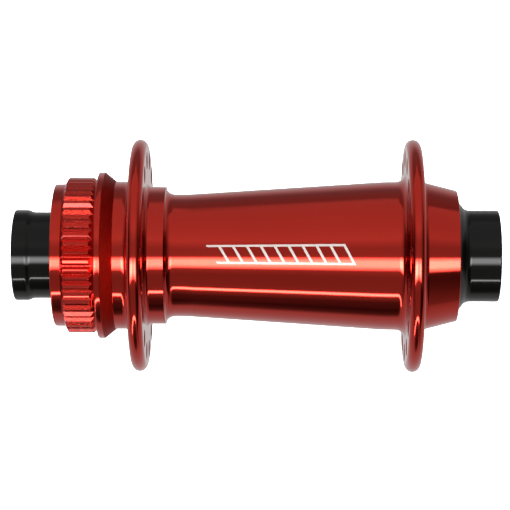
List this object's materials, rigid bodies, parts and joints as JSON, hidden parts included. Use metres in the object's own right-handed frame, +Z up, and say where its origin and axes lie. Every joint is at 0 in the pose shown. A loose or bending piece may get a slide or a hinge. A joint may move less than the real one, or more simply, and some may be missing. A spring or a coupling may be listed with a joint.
{
  "type": "bicycle front hub",
  "caption": "Bicycle front hub with two drilled spoke flanges, a tapered barrel, a splined nose for a disc rotor, cartridge bearings and pull-off end caps for a thru-axle.",
  "frame": {"origin": "middle of the hub on its axis, halfway between the two clamped faces", "axes": "+Y along the hub's axis towards the disc side; +Z up; the hub turns about Y"},
  "size_m": [0.053, 0.11, 0.053],
  "materials": {
    "red_shell": "bright red anodised, finely turned and polished",
    "black_cap": "satin black anodised",
    "axle_tube": "turned, clear",
    "bearing_steel": "ground",
    "bearing_ball": "polished",
    "bearing_cage": "natural nylon",
    "bearing_seal": "moulded rubber",
    "black_rubber": "moulded rubber"
  },
  "bodies": {
    "axle_set": {"axle": "axle_tube", "disc_side_bearing_inner_ring": "bearing_steel", "plain_side_bearing_inner_ring": "bearing_steel"},
    "shell_set": {"hub_shell": "red_shell", "disc_side_bearing_outer_ring": "bearing_steel", "disc_side_bearing_outer_seal": "bearing_seal", "disc_side_bearing_inner_seal": "bearing_seal", "plain_side_bearing_outer_ring": "bearing_steel", "plain_side_bearing_outer_seal": "bearing_seal", "plain_side_bearing_inner_seal": "bearing_seal"},
    "disc_side_ball_set": {"disc_side_bearing_cage": "bearing_cage", "disc_side_bearing_ball_01": "bearing_ball", "disc_side_bearing_ball_02": "bearing_ball", "disc_side_bearing_ball_03": "bearing_ball", "disc_side_bearing_ball_04": "bearing_ball", "disc_side_bearing_ball_05": "bearing_ball", "disc_side_bearing_ball_06": "bearing_ball", "disc_side_bearing_ball_07": "bearing_ball", "disc_side_bearing_ball_08": "bearing_ball", "disc_side_bearing_ball_09": "bearing_ball", "disc_side_bearing_ball_10": "bearing_ball", "disc_side_bearing_ball_11": "bearing_ball", "disc_side_bearing_ball_12": "bearing_ball"},
    "plain_side_ball_set": {"plain_side_bearing_cage": "bearing_cage", "plain_side_bearing_ball_01": "bearing_ball", "plain_side_bearing_ball_02": "bearing_ball", "plain_side_bearing_ball_03": "bearing_ball", "plain_side_bearing_ball_04": "bearing_ball", "plain_side_bearing_ball_05": "bearing_ball", "plain_side_bearing_ball_06": "bearing_ball", "plain_side_bearing_ball_07": "bearing_ball", "plain_side_bearing_ball_08": "bearing_ball", "plain_side_bearing_ball_09": "bearing_ball", "plain_side_bearing_ball_10": "bearing_ball", "plain_side_bearing_ball_11": "bearing_ball", "plain_side_bearing_ball_12": "bearing_ball"},
    "disc_side_cap_set": {"disc_side_end_cap": "black_cap", "disc_side_end_cap_o_ring": "black_rubber", "disc_side_end_cap_lip_seal": "black_rubber"},
    "plain_side_cap_set": {"plain_side_end_cap": "black_cap", "plain_side_end_cap_o_ring": "black_rubber", "plain_side_end_cap_lip_seal": "black_rubber"}
  },
  "joints": [
    {"name": "hub_spin", "type": "hinge", "parent": "axle_set", "child": "shell_set", "pos_m": [0, 0, 0], "axis": [0, 1, 0], "continuous": true},
    {"name": "disc_side_ball_spin", "type": "hinge", "parent": "axle_set", "child": "disc_side_ball_set", "pos_m": [0, 0.0327, 0], "axis": [0, 1, 0], "continuous": true},
    {"name": "plain_side_ball_spin", "type": "hinge", "parent": "axle_set", "child": "plain_side_ball_set", "pos_m": [0, -0.0401, 0], "axis": [0, 1, 0], "continuous": true},
    {"name": "disc_side_cap_pull", "type": "slide", "parent": "axle_set", "child": "disc_side_cap_set", "axis": [0, 1, 0], "range_m": [0, 0.018]},
    {"name": "plain_side_cap_pull", "type": "slide", "parent": "axle_set", "child": "plain_side_cap_set", "axis": [0, -1, 0], "range_m": [0, 0.012]}
  ],
  "couplings": [
    {"joint": "disc_side_ball_spin", "follows": "hub_spin", "ratio": 0.57056},
    {"joint": "plain_side_ball_spin", "follows": "hub_spin", "ratio": 0.57056}
  ]
}
